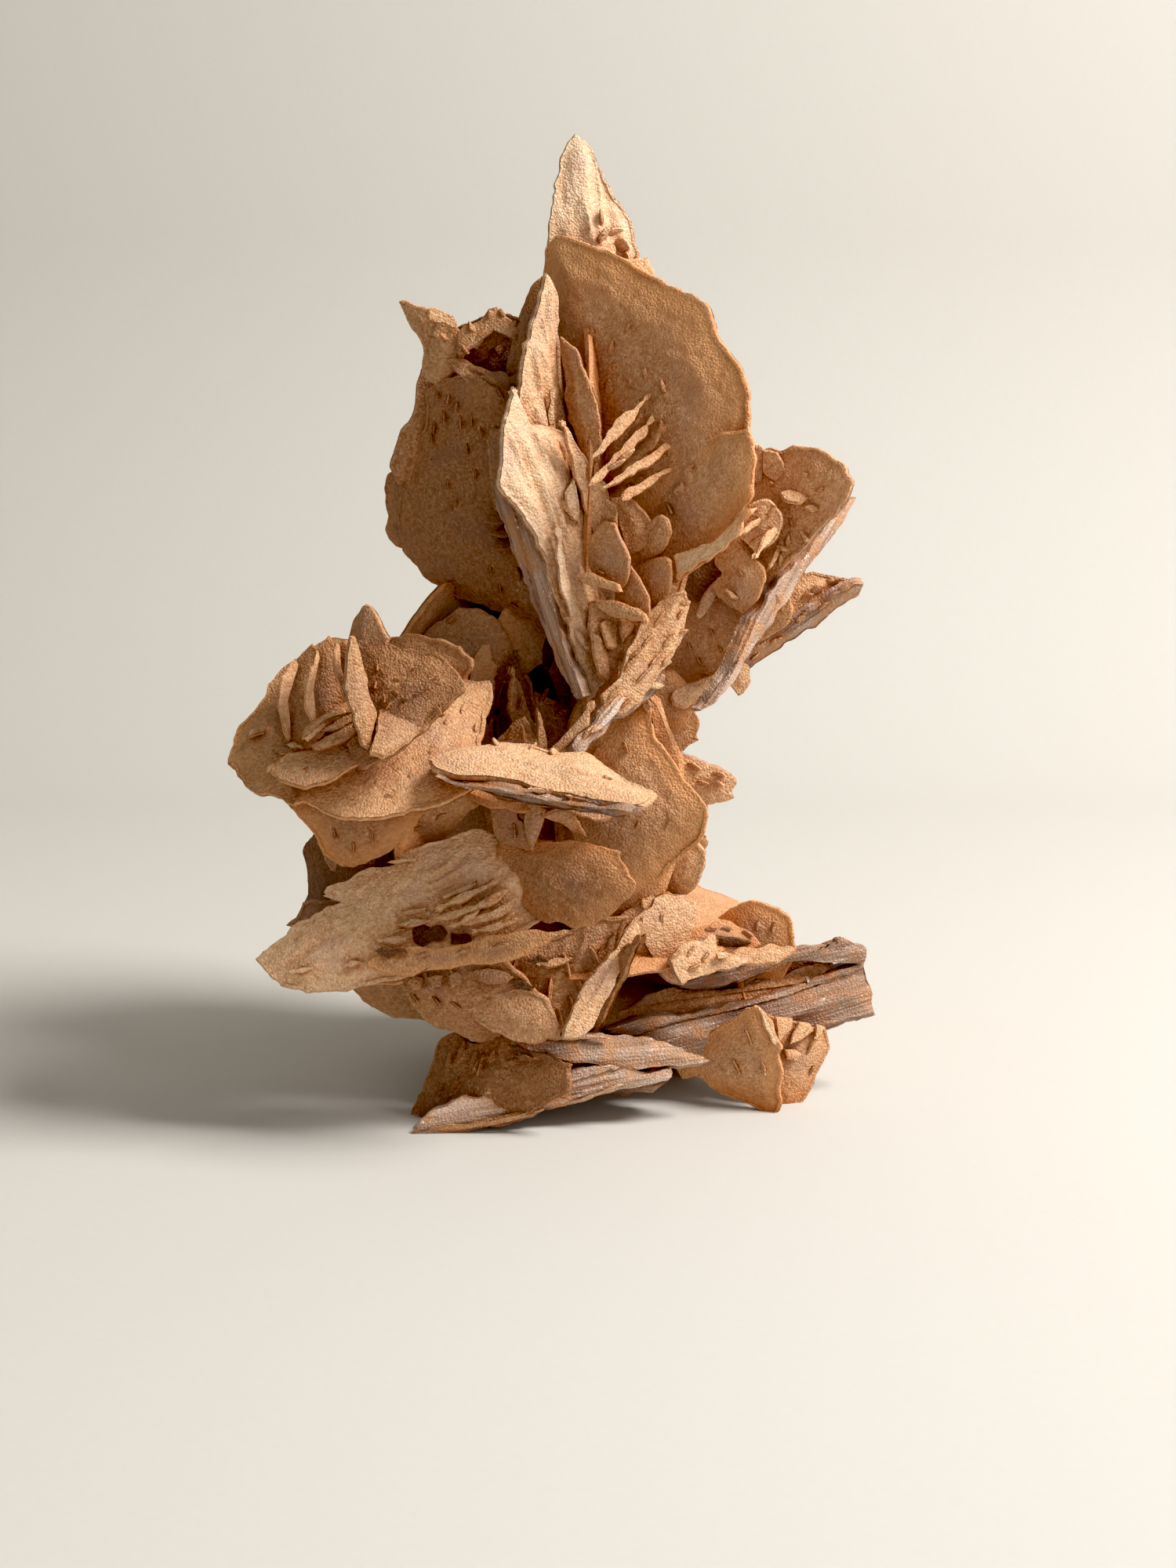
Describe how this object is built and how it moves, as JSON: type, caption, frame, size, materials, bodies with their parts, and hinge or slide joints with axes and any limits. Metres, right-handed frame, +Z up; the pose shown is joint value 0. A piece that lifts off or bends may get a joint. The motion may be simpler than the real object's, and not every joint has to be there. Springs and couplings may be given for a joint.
{
  "type": "gypsum sand rose",
  "caption": "Upright cluster of sand-filled gypsum blades grown together: tall discs and a spire above, shelf-like blades at the middle, broken layered feet below.",
  "frame": {"origin": "middle of the rose's outline in plan, on the plane it stands on", "axes": "+Z up through the spire, -Y towards the front with the tall crossed blades, +X to the right seen from the front"},
  "size_m": [0.1056, 0.0856, 0.1581],
  "materials": {
    "sand_gypsum": "dull, sandy, grainy blade faces; broken edges are fibrous and satiny, thin rims let light through"
  },
  "bodies": {
    "root": {"sand_rose": "sand_gypsum"}
  },
  "joints": []
}
